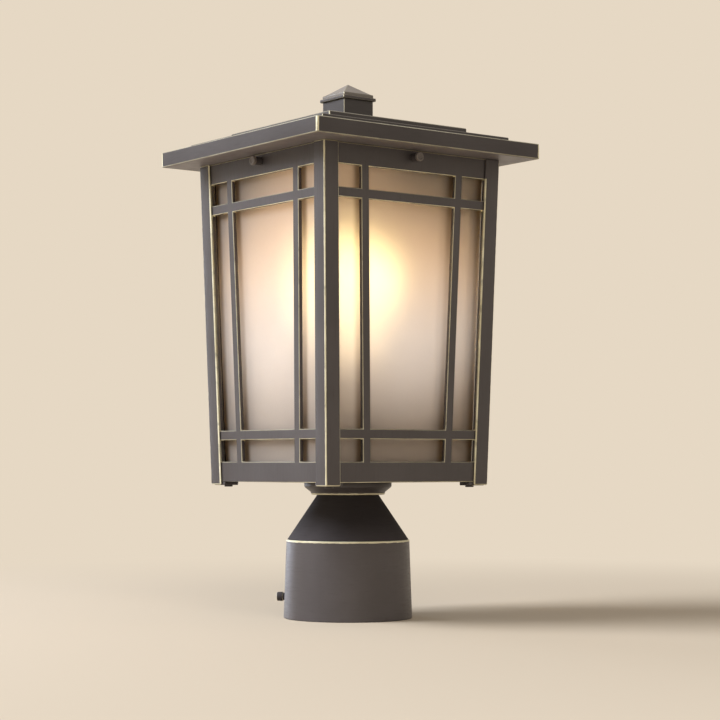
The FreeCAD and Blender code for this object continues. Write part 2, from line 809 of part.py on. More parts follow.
def make_roof():
    """Cover with its soffit, two steps, and the square skirt that drops inside the cage."""
    tray("roof_cover", "roof_half", "cage_top", "roof_height")
    soffit = new_body("roof_soffit")
    sketch = new_sketch(soffit, "XY_Plane", "cage_top")
    add_outline(sketch, square("roof_half - roof_sheet - soffit_play"))
    add_outline(sketch, square("soffit_opening"))
    extrude(soffit, "Pad", sketch, "roof_sheet")
    tray("roof_step", "step_half", "cover_top", "step_height")
    tray("roof_tier", "tier_half", "step_top", "tier_height")
    skirt = new_body("roof_skirt")
    band = new_sketch(skirt, "XY_Plane", "skirt_bottom")
    add_outline(band, square("skirt_half"))
    add_outline(band, square("skirt_half - skirt_wall"))
    extrude(skirt, "Pad", band, "skirt_depth")


def make_finial():
    """Square turret, its flange and the pointed cap, drawn down by a rod through the roof."""
    turret = new_body("turret")
    sketch = new_sketch(turret, "XY_Plane", "tier_top")
    add_outline(sketch, square("turret_half"))
    add_outline(sketch, square("turret_half - roof_sheet"))
    extrude(turret, "Pad", sketch, "turret_height")

    flange = new_body("finial_flange")
    sketch = new_sketch(flange, "XY_Plane", "turret_top")
    add_outline(sketch, square("flange_half"))
    add_circle(sketch, "0", "0", "rod_hole")
    extrude(flange, "Pad", sketch, "flange_height")

    cap = new_body("finial_cap")
    slab = new_sketch(cap, "XY_Plane", "flange_top")
    add_outline(slab, square("cap_half"))
    extrude(cap, "Pad", slab, "cap_height")
    foot = new_sketch(cap, "XY_Plane", "cap_top")
    add_outline(foot, square("cap_half - cap_bevel"))
    tip = new_sketch(cap, "XY_Plane", "cap_top + spire_height")
    add_outline(tip, square("spire_tip"))
    spire = cap.newObject("PartDesign::AdditiveLoft", "finial_cap_spire")
    spire.Profile = foot
    spire.Sections = [tip]
    spire.Ruled = True
    doc.recompute()
    thread = new_sketch(cap, "XY_Plane", "flange_top")
    add_circle(thread, "0", "0", "rod_radius + rod_thread_play")
    extrude(cap, "Pocket", thread, "rod_entry + rod_thread_play", True)

    turn("finial_rod", (("0", "rod_foot"), ("rod_radius", "rod_foot"), ("rod_radius", "rod_top"), ("0", "rod_top")))
    tube("finial_washer", "rod_hole", "rod_washer_radius", "rod_nut_top", "cover_ceiling")
    hex_nut("finial_nut", "rod_nut_radius", "rod_radius + rod_thread_play", "rod_nut_top - rod_nut_height",
            "rod_nut_height")


def make_thumb_screws():
    """Round-headed screws with a long neck, one in the middle of each top rail."""
    for quarter, side in enumerate(SIDES):
        body = turn(f"thumb_screw_{side}", (
            ("0", "thumb_tip_at"),
            ("thumb_radius", "thumb_tip_at"),
            ("thumb_radius", "thumb_neck_at"),
            ("thumb_neck_radius", "thumb_neck_at"),
            ("thumb_neck_radius", "thumb_head_at"),
            ("thumb_head_radius", "thumb_head_at"),
            ("thumb_head_radius", "thumb_end"),
            ("thumb_dimple_radius", "thumb_end"),
            ("thumb_dimple_radius", "thumb_end - thumb_dimple_depth"),
            ("0", "thumb_end - thumb_dimple_depth"),
        ))
        level = formula("thumb_height")
        place(body, (("0", "0", level, "0; 0; 1", 90 * quarter), ("0", "0", "0", "1; 0; 0", 90)))


# ---------------------------------------------------------------- build, check and export
def check_document():
    doc.recompute()
    for item in doc.Objects:
        if "Invalid" in item.State or "Error" in item.State:
            raise RuntimeError(f"{item.Label} failed: {item.State}")
    for node in nodes:
        if node.Shape.isNull() or not node.Shape.isValid() or not node.Shape.Solids:
            raise RuntimeError(f"{node.Label} has no valid solid")


def export_nodes():
    os.makedirs("parts", exist_ok=True)
    for node in nodes:
        node.Shape.exportStep(os.path.join("parts", node.Label + ".step"))
        print(f"{node.Label}: {len(node.Shape.Solids)} solid(s), {node.Shape.Volume:.1f} mm3")


make_sheets()
make_fitter()
make_cone()
make_collar()
make_riser()
make_set_screws()
make_posts()
make_grilles()
make_panes()
make_clips()
make_pan()
make_gussets()
make_holder()
make_bulb()
make_roof()
make_finial()
make_thumb_screws()
check_document()
export_nodes()
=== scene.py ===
"""Post top lantern in dark bronze with gold-rubbed edges, on a plain pale floor."""
import math

import bmesh
import bpy
from mathutils import Matrix, Vector


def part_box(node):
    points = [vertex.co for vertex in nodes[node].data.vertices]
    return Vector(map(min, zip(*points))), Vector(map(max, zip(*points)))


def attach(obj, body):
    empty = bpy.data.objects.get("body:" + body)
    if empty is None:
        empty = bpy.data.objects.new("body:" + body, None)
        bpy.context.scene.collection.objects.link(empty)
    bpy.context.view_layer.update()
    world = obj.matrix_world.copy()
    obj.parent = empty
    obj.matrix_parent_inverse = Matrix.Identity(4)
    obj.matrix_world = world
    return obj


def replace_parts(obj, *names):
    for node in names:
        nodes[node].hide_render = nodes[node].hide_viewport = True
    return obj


MM = 0.001

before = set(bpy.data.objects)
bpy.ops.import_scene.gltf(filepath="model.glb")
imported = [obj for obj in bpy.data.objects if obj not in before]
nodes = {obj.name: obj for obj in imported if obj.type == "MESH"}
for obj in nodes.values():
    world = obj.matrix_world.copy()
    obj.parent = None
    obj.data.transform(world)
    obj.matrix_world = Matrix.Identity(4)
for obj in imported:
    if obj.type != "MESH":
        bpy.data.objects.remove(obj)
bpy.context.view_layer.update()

SIDES = ("front", "right", "back", "left")


# ---------------------------------------------------------------- material helpers
class Shader:
    """A material with one Principled shader and the nodes that feed it."""

    def __init__(self, name, **fixed):
        self.material = bpy.data.materials.new(name)
        self.material.use_nodes = True
        self.tree = self.material.node_tree
        self.surface = self.tree.nodes["Principled BSDF"]
        self.coordinates = self.add("ShaderNodeTexCoord").outputs["Object"]
        for socket, value in fixed.items():
            self.surface.inputs[socket.replace("_", " ")].default_value = value

    def add(self, kind):
        return self.tree.nodes.new(kind)

    def put(self, target, value):
        """Gives a socket either a plain value or another node's output."""
        if isinstance(value, bpy.types.NodeSocket):
            self.tree.links.new(value, target)
        else:
            target.default_value = value

    def feed(self, socket, value):
        self.put(self.surface.inputs[socket], value)

    def noise(self, scale, detail=3.0, stretch=(1.0, 1.0, 1.0)):
        """Noise over the object's own coordinates, drawn out along an axis by a small stretch."""
        mapping = self.add("ShaderNodeMapping")
        mapping.inputs["Scale"].default_value = stretch
        self.put(mapping.inputs["Vector"], self.coordinates)
        texture = self.add("ShaderNodeTexNoise")
        texture.inputs["Scale"].default_value = scale
        texture.inputs["Detail"].default_value = detail
        self.put(texture.inputs["Vector"], mapping.outputs["Vector"])
        return texture.outputs["Fac"]

    def step(self, value, low, high, start=0.0, end=1.0):
        """Smooth step of a value between low and high, scaled to start and end."""
        node = self.add("ShaderNodeMapRange")
        node.interpolation_type = "SMOOTHSTEP"
        self.put(node.inputs["Value"], value)
        node.inputs["From Min"].default_value = low
        node.inputs["From Max"].default_value = high
        node.inputs["To Min"].default_value = start
        node.inputs["To Max"].default_value = end
        return node.outputs["Result"]

    def between(self, value, low, high, fade):
        """0 at low, 1 from a fade above it up to high, and 0 again a fade above that."""
        above = self.step(value, low, low + fade)
        return self.math("MULTIPLY", above, self.step(value, high, high + fade, 1.0, 0.0))

    def math(self, operation, first, second=0.0):
        node = self.add("ShaderNodeMath")
        node.operation = operation
        self.put(node.inputs[0], first)
        self.put(node.inputs[1], second)
        return node.outputs["Value"]

    def mix(self, factor, first, second):
        """Blend of two colours."""
        node = self.add("ShaderNodeMix")
        node.data_type = "RGBA"
        self.put(node.inputs["Factor"], factor)
        self.put(node.inputs[6], first)
        self.put(node.inputs[7], second)
        return node.outputs[2]

    def split(self, vector):
        """The three parts of a vector."""
        node = self.add("ShaderNodeSeparateXYZ")
        self.put(node.inputs["Vector"], vector)
        return node.outputs["X"], node.outputs["Y"], node.outputs["Z"]

    def level(self):
        """Height above the floor."""
        return self.split(self.coordinates)[2]

    def facing_up(self):
        """1 on faces that look straight up, 0 on upright ones and -1 on those that look down."""
        return self.split(self.add("ShaderNodeNewGeometry").outputs["True Normal"])[2]

    def from_corner(self):
        """Distance from the corner lines of the lantern's square plan."""
        across, along = self.split(self.coordinates)[:2]
        gap = self.math("SUBTRACT", self.math("ABSOLUTE", across), self.math("ABSOLUTE", along))
        return self.math("ABSOLUTE", gap)

    def from_point(self, point):
        """Distance from a point."""
        node = self.add("ShaderNodeVectorMath")
        node.operation = "DISTANCE"
        self.put(node.inputs[0], self.coordinates)
        node.inputs[1].default_value = point
        return node.outputs["Value"]

    def bump(self, height, distance, strength):
        node = self.add("ShaderNodeBump")
        node.inputs["Strength"].default_value = strength
        node.inputs["Distance"].default_value = distance
        self.put(node.inputs["Height"], height)
        self.feed("Normal", node.outputs["Normal"])


BRONZE_DEEP = (0.066, 0.057, 0.057, 1.0)
BRONZE_WARM = (0.079, 0.069, 0.069, 1.0)
BRONZE_DARK = (0.050, 0.042, 0.041, 1.0)
GOLD_PALE = (0.90, 0.85, 0.62, 1.0)
GOLD_MID = (0.80, 0.74, 0.51, 1.0)
GOLD_DEEP = (0.64, 0.58, 0.38, 1.0)
# Distance of the posts' inner edges from the corner lines, how far rubbed gold fades out and how
# ragged its border is, and the relief of the grain.
POST_LEG = 11.5 * MM
RUB_FADE = 0.3 * MM
RAGGED = 0.12 * MM
GRAIN_RELIEF = 0.1 * MM


def rub(shader, base, corner_rub, leg_rub, leg_top, ring):
    """A base colour with gold on upright faces, in a ring or beside corners and inner edges."""
    ragged = shader.step(shader.noise(240.0, 3.0), 0.3, 0.7, -RAGGED, RAGGED)
    if ring:
        gilt = shader.between(shader.math("ADD", shader.level(), ragged), *ring, RUB_FADE)
    else:
        edge = shader.math("ADD", shader.from_corner(), ragged)
        gilt = shader.step(edge, corner_rub, corner_rub + RUB_FADE, 1.0, 0.0)
        if leg_rub:
            leg = shader.step(edge, POST_LEG - leg_rub - RUB_FADE, POST_LEG - leg_rub)
            below = shader.step(shader.level(), leg_top, leg_top + MM, 1.0, 0.0)
            gilt = shader.math("MAXIMUM", gilt, shader.math("MULTIPLY", leg, below))
    upright = shader.step(shader.math("ABSOLUTE", shader.facing_up()), 0.2, 0.3, 1.0, 0.0)
    return shader.mix(shader.math("MULTIPLY", gilt, upright), base, GOLD_MID)


def bronze(name, stretch, tone=1.0, rough=0.40, gloss=0.5, worn=0.0, corner_rub=0.0, leg_rub=0.0,
           leg_top=1.0, ring=None):
    """Satin bronze paint with soft clouding and fine grain.

    worn is the share of the gold that shows through it everywhere. It is rubbed to gold between
    the two heights of a ring, or within corner_rub of an upright corner and within leg_rub of a
    post's inner edge up to the height leg_top.
    """
    shader = Shader(name, Specular_IOR_Level=gloss, Metallic=0.1)

    def shade(colour):
        return tuple(part * tone + under * worn for part, under in zip(colour[:3], GOLD_MID)) + (1.0,)

    cloud = shader.step(shader.noise(22.0, 4.0), 0.35, 0.68)
    base = shader.mix(cloud, shade(BRONZE_DEEP), shade(BRONZE_WARM))
    grain = shader.noise(900.0, 2.0, stretch)
    streak = shader.step(grain, 0.58, 0.80, 0.0, 0.3)
    base = shader.mix(streak, base, shade(BRONZE_DARK))
    if corner_rub or ring:
        base = rub(shader, base, corner_rub, leg_rub, leg_top, ring)
    shader.feed("Base Color", base)
    shader.feed("Roughness", shader.step(grain, 0.25, 0.75, rough, rough + 0.10))
    peel = shader.noise(1500.0, 2.0)
    shader.bump(shader.math("ADD", peel, grain), GRAIN_RELIEF, 0.3)
    return shader.material


def gold(name, upright=1.0, upward=0.3, downward=0.8, band=None, rim=None):
    """Gold rubbed along an edge, and worn off in places.

    upright says how much of the gold shows on upright edges and upward on edges that look up.
    downward is the share of upright on edges that look down. This split by facing is painted light
    and shade. band gives the heights between which there is any gold, and above the height of a
    rim nearly all of it shows, as a painted highlight in the shade under the roof.
    """
    shader = Shader(name, Metallic=0.2)
    tone = shader.mix(shader.step(shader.noise(60.0, 3.0), 0.3, 0.7), GOLD_DEEP, GOLD_PALE)
    facing = shader.facing_up()
    # Painted light and shade: how much gold shows by facing; the noise after it is wear.
    left = shader.math("MULTIPLY", shader.step(facing, 0.2, 0.4, upright, upward),
                       shader.step(facing, -0.4, -0.2, downward, 1.0))
    worn = shader.step(shader.noise(150.0, 3.0), 0.28, 0.5, 0.6, 1.0)
    left = shader.math("MULTIPLY", left, worn)
    if band:
        left = shader.math("MULTIPLY", left, shader.between(shader.level(), *band, RUB_FADE))
    # Painted highlight: nearly all the gold shows above the rim, in the shade under the roof.
    if rim:
        left = shader.math("MAXIMUM", left, shader.step(shader.level(), rim, rim + RUB_FADE, 0.0, 0.9))
    shader.feed("Base Color", shader.mix(left, BRONZE_WARM, tone))
    shader.feed("Roughness", shader.step(shader.noise(600.0), 0.3, 0.7, 0.38, 0.52))
    shader.bump(shader.noise(1300.0, 2.0), GRAIN_RELIEF, 0.3)
    return shader.material


GLASS_DEEP = (0.600, 0.535, 0.475, 1.0)
GLASS_PALE = (0.660, 0.595, 0.530, 1.0)
# Colour of the painted shade beside the bars and posts; below it, the colours and strengths of the glow
# painted on the panes.
GLASS_PAINTED_SHADE = (0.26, 0.19, 0.12, 1.0)
GLOW_LOW = (1.0, 0.95, 0.92, 1.0)
GLOW_HIGH = (1.0, 0.60, 0.32, 1.0)
PAINTED_BULB_GLOW = 0.255
PAINTED_POST_GLOW = 0.12
ETCHING_RELIEF = 0.08 * MM
# Distances from the corner lines of the post's edge and of both edges of the upright bar beside it,
# and how far the painted shade on the glass reaches beside them.
POST_EDGE, BAR_NEAR, BAR_FAR = 5.3 * MM, 24.0 * MM, 30.0 * MM
EDGE_PAINTED_SHADE = 5.0 * MM


def frosted_pane(centre):
    """Etched glass lit from behind by a bulb with the given centre height.

    Its glow round the bulb and beside the upper part of the near post is painted light, and it
    has painted shade beside the bars and posts.
    """
    shader = Shader("frosted_glass", IOR=1.3, Transmission_Weight=0.75)
    cloud = shader.step(shader.noise(14.0, 3.0), 0.3, 0.7)
    bulb_glow_spot = (0.0, 0.0, centre - 18.0 * MM)
    reach = shader.from_point(bulb_glow_spot)
    # Painted shade beside the bars and posts, weaker near the bulb.
    gap = shader.from_corner()
    shade = shader.math("MAXIMUM", shader.between(gap, BAR_NEAR - EDGE_PAINTED_SHADE, BAR_FAR, EDGE_PAINTED_SHADE),
                        shader.step(gap, POST_EDGE, POST_EDGE + EDGE_PAINTED_SHADE, 1.0, 0.0))
    shade = shader.math("MULTIPLY", shade, shader.step(reach, 60.0 * MM, 120.0 * MM, 0.4, 1.0))
    shader.feed("Base Color", shader.mix(shade, shader.mix(cloud, GLASS_DEEP, GLASS_PALE), GLASS_PAINTED_SHADE))
    shader.feed("Roughness", shader.step(shader.noise(700.0, 2.0), 0.3, 0.7, 0.68, 0.78))
    # Painted light: emission round the bulb and beside the upper part of the near post, dimmed in the
    # painted shade.
    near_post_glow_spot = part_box("corner_post_front_left")[0] + Vector((10.0, 27.0, 197.0)) * MM
    by_post = shader.from_point(near_post_glow_spot)
    glow = shader.math("ADD", shader.step(reach, 50.0 * MM, 112.0 * MM, PAINTED_BULB_GLOW, 0.0),
                       shader.step(by_post, 10.0 * MM, 80.0 * MM, PAINTED_POST_GLOW, 0.0))
    glow = shader.math("MULTIPLY", glow, shader.step(shade, 0.0, 1.0, 1.0, 0.3))
    mottle = shader.step(shader.noise(40.0, 4.0), 0.3, 0.7, 0.95, 1.0)
    shader.feed("Emission Strength", shader.math("MULTIPLY", glow, mottle))
    warm = shader.step(shader.level(), centre - 50.0 * MM, centre + 40.0 * MM)
    shader.feed("Emission Color", shader.mix(warm, GLOW_LOW, GLOW_HIGH))
    shader.bump(shader.noise(2200.0, 2.0), ETCHING_RELIEF, 0.4)
    return shader.material


BULB_LOW = (1.0, 0.82, 0.55, 1.0)
BULB_HIGH = (1.0, 0.85, 0.43, 1.0)
BULB_STRENGTH = 8.0


def lit_bulb(centre):
    """Lit frosted bulb: warm white, brightest towards its crown."""
    shader = Shader("lit_bulb_glass", Base_Color=(1.0, 0.94, 0.84, 1.0), Roughness=0.55)
    glow = shader.step(shader.level(), centre - 45.0 * MM, centre + 20.0 * MM, 0.35, 1.0)
    mottle = shader.step(shader.noise(90.0, 2.0), 0.2, 0.8, 0.94, 1.0)
    shader.feed("Emission Color", shader.mix(glow, BULB_LOW, BULB_HIGH))
    strength = shader.math("MULTIPLY", glow, mottle)
    shader.feed("Emission Strength", shader.math("MULTIPLY", strength, BULB_STRENGTH))
    return shader.material


def metal(name, light, dark, roughness):
    """Bare metal with patches of tarnish and a fine grain."""
    shader = Shader(name, Metallic=1.0)
    patch = shader.step(shader.noise(70.0, 4.0), 0.35, 0.7)
    shader.feed("Base Color", shader.mix(patch, dark, light))
    grain = shader.noise(1100.0, 2.0)
    shader.feed("Roughness", shader.step(grain, 0.2, 0.8, roughness - 0.08, roughness + 0.12))
    shader.bump(grain, GRAIN_RELIEF, 0.25)
    return shader.material


def enamel(name, light, dark, roughness, coat=0.0):
    """Glazed or moulded surface with faint mottling."""
    shader = Shader(name, Coat_Weight=coat, Coat_Roughness=0.08)
    shader.feed("Base Color", shader.mix(shader.step(shader.noise(45.0, 4.0), 0.3, 0.7), dark, light))
    shader.feed("Roughness", shader.step(shader.noise(300.0), 0.3, 0.7, roughness, roughness + 0.1))
    shader.bump(shader.noise(260.0, 3.0), 0.2 * MM, 0.2)
    return shader.material


bulb_low, bulb_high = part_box("bulb_envelope")
bulb_radius = (bulb_high.x - bulb_low.x) / 2
bulb_centre = bulb_high.z - bulb_radius
cage_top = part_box("corner_post_front_left")[1].z
top_rail_foot = cage_top - 13.6 * MM
# Height above which the posts' and grilles' edges carry a painted highlight.
highlight_rim = cage_top - 1.5 * MM
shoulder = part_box("post_fitter")[1].z
collar_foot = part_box("fitter_collar")[0].z

UPRIGHT_GRAIN = (1.0, 1.0, 0.06)
LEVEL_GRAIN = (0.12, 0.12, 1.0)
CORNER_RUB = 0.6 * MM
LEG_RUB = 0.4 * MM

BRONZE_UPRIGHT = bronze("bronze_upright_grain", UPRIGHT_GRAIN)
BRONZE_LEVEL = bronze("bronze_level_grain", LEVEL_GRAIN)
BRONZE_POST = bronze("bronze_post", UPRIGHT_GRAIN, corner_rub=CORNER_RUB, leg_rub=LEG_RUB)
BRONZE_NEAR_POST = bronze("bronze_near_post", UPRIGHT_GRAIN, corner_rub=CORNER_RUB)
BRONZE_SHORT_POST = bronze("bronze_short_post", UPRIGHT_GRAIN, corner_rub=CORNER_RUB, leg_rub=LEG_RUB,
                           leg_top=top_rail_foot)
BRONZE_ROOF = bronze("bronze_roof", LEVEL_GRAIN, tone=0.79, gloss=0.38, corner_rub=1.3 * MM)
# The soffit's much lighter tone is painted light on the roof's underside.
BRONZE_SOFFIT_PAINTED_LIGHT = bronze("bronze_soffit_painted_light", LEVEL_GRAIN, tone=2.5)
BRONZE_STEP = bronze("bronze_roof_step", LEVEL_GRAIN, tone=0.8)
BRONZE_TOP = bronze("bronze_roof_top", LEVEL_GRAIN, tone=0.7, corner_rub=0.3 * MM)
BRONZE_TURRET = bronze("bronze_turret", LEVEL_GRAIN, tone=0.63)
BRONZE_CAP = bronze("bronze_cap", LEVEL_GRAIN, tone=1.9, worn=0.08)
# Thumb screw heads: the lighter tone is a painted highlight, and the gold share is wear.
BRONZE_KNOB_HIGHLIGHT_AND_WEAR = bronze("bronze_knob_highlight_and_wear", UPRIGHT_GRAIN, tone=1.8, worn=0.05)
# Darker tone: painted shade on the cone under the cage, on the set screws and on the thumb screws' shanks.
BRONZE_PAINTED_SHADE = bronze("bronze_painted_shade", LEVEL_GRAIN, tone=0.88, rough=0.85, gloss=0.2)
BRONZE_SLEEVE = bronze("bronze_sleeve", LEVEL_GRAIN, tone=1.15, ring=(shoulder - 1.4 * MM, shoulder + MM))
BRONZE_COLLAR = bronze("bronze_collar", LEVEL_GRAIN, tone=0.85,
                       ring=(collar_foot - MM, collar_foot + 0.8 * MM))
# Painted light and shade: the gold shares by facing, more on the downward edges of the grille and collar,
# and nearly full gold above the highlight rim.
GOLD_POST = gold("gold_post_edge", rim=highlight_rim)
GOLD_SHORT_POST = gold("gold_short_post_edge", band=(0.0, top_rail_foot))
GOLD_GRILLE = gold("gold_grille_edge", upright=0.65, upward=0.40, downward=1.45, rim=highlight_rim)
GOLD_ROOF = gold("gold_roof_edge", upward=0.40, downward=0.40)
GOLD_STEP = gold("gold_step_edge", upward=0.08, downward=0.3)
GOLD_TOP = gold("gold_top_edge", upward=0.22, downward=0.6)
GOLD_TURRET = gold("gold_turret_edge", upright=0.55, upward=0.22, downward=0.6)
GOLD_FITTER = gold("gold_fitter_ring", upward=1.0, downward=1.0, band=(shoulder - 4.0 * MM, shoulder + MM))
GOLD_COLLAR = gold("gold_collar_foot", downward=1.0, band=(collar_foot - MM, collar_foot + 0.7 * MM))

PANE = frosted_pane(bulb_centre)
BULB = lit_bulb(bulb_centre)
BRASS = metal("plain_brass", (0.80, 0.60, 0.30, 1.0), (0.58, 0.40, 0.18, 1.0), 0.30)
NICKEL = metal("nickelled_brass", (0.78, 0.75, 0.68, 1.0), (0.60, 0.56, 0.48, 1.0), 0.26)
ZINC = metal("zinc_plated_steel", (0.62, 0.62, 0.60, 1.0), (0.45, 0.45, 0.45, 1.0), 0.36)
GREEN = enamel("green_earth_screw", (0.05, 0.28, 0.09, 1.0), (0.03, 0.18, 0.06, 1.0), 0.35)
PORCELAIN = enamel("white_glazed_porcelain", (0.87, 0.85, 0.81, 1.0), (0.80, 0.77, 0.72, 1.0), 0.22,
                   coat=0.6)
INSULATOR = enamel("black_glass_insulator", (0.02, 0.02, 0.025, 1.0), (0.012, 0.012, 0.014, 1.0), 0.18,
                   coat=0.4)


# ---------------------------------------------------------------- CAD nodes with rubbed edges
def dress(name, face, edge=None, width=0.0, angle=30.0):
    """Gives a CAD node its material, and bevels its sharp edges in a second one, or in the same.

    The bevel's width is in mm. It goes on edges that turn by more than an angle in degrees.
    """
    piece = nodes[name]
    piece.material_slots[0].material = face
    if not width:
        return
    piece.data.materials.append(edge or face)
    weld = piece.modifiers.new("weld", "WELD")
    weld.merge_threshold = 1e-6
    flat = piece.modifiers.new("flat_faces", "DECIMATE")
    flat.decimate_type = "DISSOLVE"
    flat.angle_limit = math.radians(0.5)
    bevel = piece.modifiers.new("edges", "BEVEL")
    bevel.width = width * MM
    bevel.limit_method = "ANGLE"
    bevel.angle_limit = math.radians(angle)
    bevel.use_clamp_overlap = False
    bevel.segments = 1
    bevel.material = 1
    smooth = piece.modifiers.new("smooth", "WEIGHTED_NORMAL")
    smooth.weight = 100


for side in SIDES:
    dress(f"side_grille_{side}", BRONZE_UPRIGHT, GOLD_GRILLE, 0.4)
    dress(f"glass_pane_{side}", PANE, width=0.5)
dress("corner_post_front_left", BRONZE_NEAR_POST, GOLD_POST, 0.7)
dress("corner_post_front_right", BRONZE_SHORT_POST, GOLD_SHORT_POST, 0.7)
dress("corner_post_back_right", BRONZE_POST, GOLD_POST, 0.7)
dress("corner_post_back_left", BRONZE_POST, GOLD_POST, 0.7)
dress("roof_cover", BRONZE_ROOF, GOLD_ROOF, 0.6)
dress("roof_soffit", BRONZE_SOFFIT_PAINTED_LIGHT, width=0.3)
dress("roof_step", BRONZE_STEP, GOLD_STEP, 0.4)
dress("roof_tier", BRONZE_TOP, GOLD_TOP, 0.6)
dress("turret", BRONZE_TURRET, GOLD_TURRET, 0.4)
dress("finial_flange", BRONZE_LEVEL, GOLD_STEP, 0.4)
dress("finial_cap", BRONZE_CAP, GOLD_TOP, 0.4, angle=24.0)
dress("post_fitter", BRONZE_SLEEVE, GOLD_FITTER, 0.5)
dress("fitter_cone", BRONZE_PAINTED_SHADE, width=0.4)
dress("fitter_collar", BRONZE_COLLAR, GOLD_COLLAR, 0.45)
for name in ("roof_skirt", "bottom_pan", "corner_gussets"):
    dress(name, BRONZE_LEVEL, width=0.3)
for name in ("gusset_screws", "riser_sleeve"):
    dress(name, BRONZE_LEVEL, width=0.25)
for name in ("set_screw_1", "set_screw_2"):
    dress(name, BRONZE_PAINTED_SHADE, GOLD_GRILLE, 0.25)
for name in ("riser_nut_lower", "riser_nut_upper", "riser_washer", "finial_washer", "finial_nut",
             "pane_clips"):
    dress(name, ZINC, width=0.2)
dress("ground_screw", GREEN, width=0.2)
dress("socket_body", PORCELAIN, width=0.8)
for name in ("socket_contact", "terminal_screws", "bulb_contact"):
    dress(name, BRASS, width=0.15)
dress("bulb_envelope", BULB)


# ---------------------------------------------------------------- threaded and fluted pieces
ROWS_PER_TURN = 6


def ring(height, radius, cut=0.0, flutes=1, phase=0.0):
    """One ring of a turned piece, waved in by a cut where it is fluted or threaded."""
    return height, radius, cut, flutes, phase


def thread(low, high, crest, depth, pitch):
    """Rings of a rolled thread between two heights, run out over one turn at each end."""
    rows = math.ceil((high - low) / pitch * ROWS_PER_TURN)
    rings = []
    for row in range(rows + 1):
        height = low + (high - low) * row / rows
        run_out = min(1.0, (height - low) / pitch, (high - height) / pitch)
        rings.append(ring(height, crest, depth * run_out, 1, math.tau * height / pitch))
    return rings


def thinner(rings, wall):
    """The same rings from the top down, a wall further in."""
    return [ring(height, radius - wall, *wave) for height, radius, *wave in reversed(rings)]


def turned(name, body, material, rings, sides, hollow=False, place=Matrix(), shank=(0, None)):
    """A piece turned about its own Z axis, with a flat face at each end or, if hollow, closed on itself.

    shank gives how many of its first bands have another material, and which.
    """
    shape = bmesh.new()
    loops = []
    for height, radius, cut, flutes, phase in rings:
        loop = []
        for side in range(sides):
            angle = side * math.tau / sides
            reach = radius - cut * (0.5 - 0.5 * math.cos(flutes * angle - phase))
            point = Vector((reach * math.cos(angle), reach * math.sin(angle), height))
            loop.append(shape.verts.new(place @ point))
        loops.append(loop)
    pairs = list(zip(loops, loops[1:]))
    if hollow:
        pairs.append((loops[-1], loops[0]))
    else:
        shape.faces.new(loops[0][::-1])
        shape.faces.new(loops[-1])
    shank_bands, shank_material = shank
    for band, (lower, upper) in enumerate(pairs):
        for side in range(sides):
            after = (side + 1) % sides
            face = shape.faces.new((lower[side], lower[after], upper[after], upper[side]))
            face.material_index = int(band < shank_bands)
    mesh = bpy.data.meshes.new(name)
    shape.to_mesh(mesh)
    shape.free()
    mesh.shade_smooth()
    mesh.set_sharp_from_angle(angle=math.radians(35))
    mesh.materials.append(material)
    if shank_material:
        mesh.materials.append(shank_material)
    piece = bpy.data.objects.new(name, mesh)
    bpy.context.scene.collection.objects.link(piece)
    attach(piece, body)
    return piece


BASE_PITCH = 3.63 * MM
PIPE_PITCH = MM
M4_PITCH = 0.7 * MM
M5_PITCH = 0.8 * MM


def make_bulb_base():
    """Rolled screw shell of the bulb, over the black glass round its contact."""
    low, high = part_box("bulb_base")
    radius = (high.x - low.x) / 2
    lip = low.z + 1.7 * MM
    collar = high.z - 4.0 * MM
    rings = [ring(lip, radius - 1.5 * MM), ring(lip + 0.4 * MM, radius - 0.8 * MM)]
    rings += thread(lip + 0.7 * MM, collar, radius - 0.2 * MM, 0.8 * MM, BASE_PITCH)
    rings += [ring(collar + 0.6 * MM, radius), ring(high.z, radius)]
    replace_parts(turned("bulb_screw_shell", "bulb", NICKEL, rings, sides=64), "bulb_base")
    neck = radius - 1.6 * MM
    glass = [ring(low.z, 4.5 * MM), ring(low.z + 0.3 * MM, 5.6 * MM), ring(lip - 0.15 * MM, neck),
             ring(lip + MM, neck)]
    turned("bulb_insulator", "bulb", INSULATOR, glass, sides=48)


def make_holder_shell():
    """Rolled brass screw shell of the lampholder, in step with the bulb's thread."""
    low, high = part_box("socket_shell")
    outside = thread(low.z, high.z, (high.x - low.x) / 2, 0.5 * MM, BASE_PITCH)
    rings = outside + thinner(outside, 0.35 * MM)
    shell = turned("holder_screw_shell", "lantern_frame", BRASS, rings, hollow=True, sides=64)
    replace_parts(shell, "socket_shell")


def make_riser():
    """Zinc-plated lamp pipe, threaded from end to end."""
    low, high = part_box("riser_tube")
    radius = (high.x - low.x) / 2
    bore = radius - 1.3 * MM
    chamfer = radius - 0.5 * MM
    rings = [ring(low.z, chamfer)]
    rings += thread(low.z + 0.4 * MM, high.z - 0.4 * MM, radius, 0.55 * MM, PIPE_PITCH)
    rings += [ring(high.z, chamfer), ring(high.z, bore), ring(low.z, bore)]
    pipe = turned("riser_pipe", "lantern_frame", ZINC, rings, hollow=True, sides=28)
    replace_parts(pipe, "riser_tube")


def make_tie_rod():
    """Threaded rod that draws the turret and cap down on the roof."""
    low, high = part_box("finial_rod")
    radius = (high.x - low.x) / 2
    chamfer = radius - 0.4 * MM
    rings = [ring(low.z, chamfer)]
    rings += thread(low.z + 0.3 * MM, high.z - 0.3 * MM, radius, 0.4 * MM, M4_PITCH)
    rings.append(ring(high.z, chamfer))
    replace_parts(turned("tie_rod", "roof", ZINC, rings, sides=20), "finial_rod")


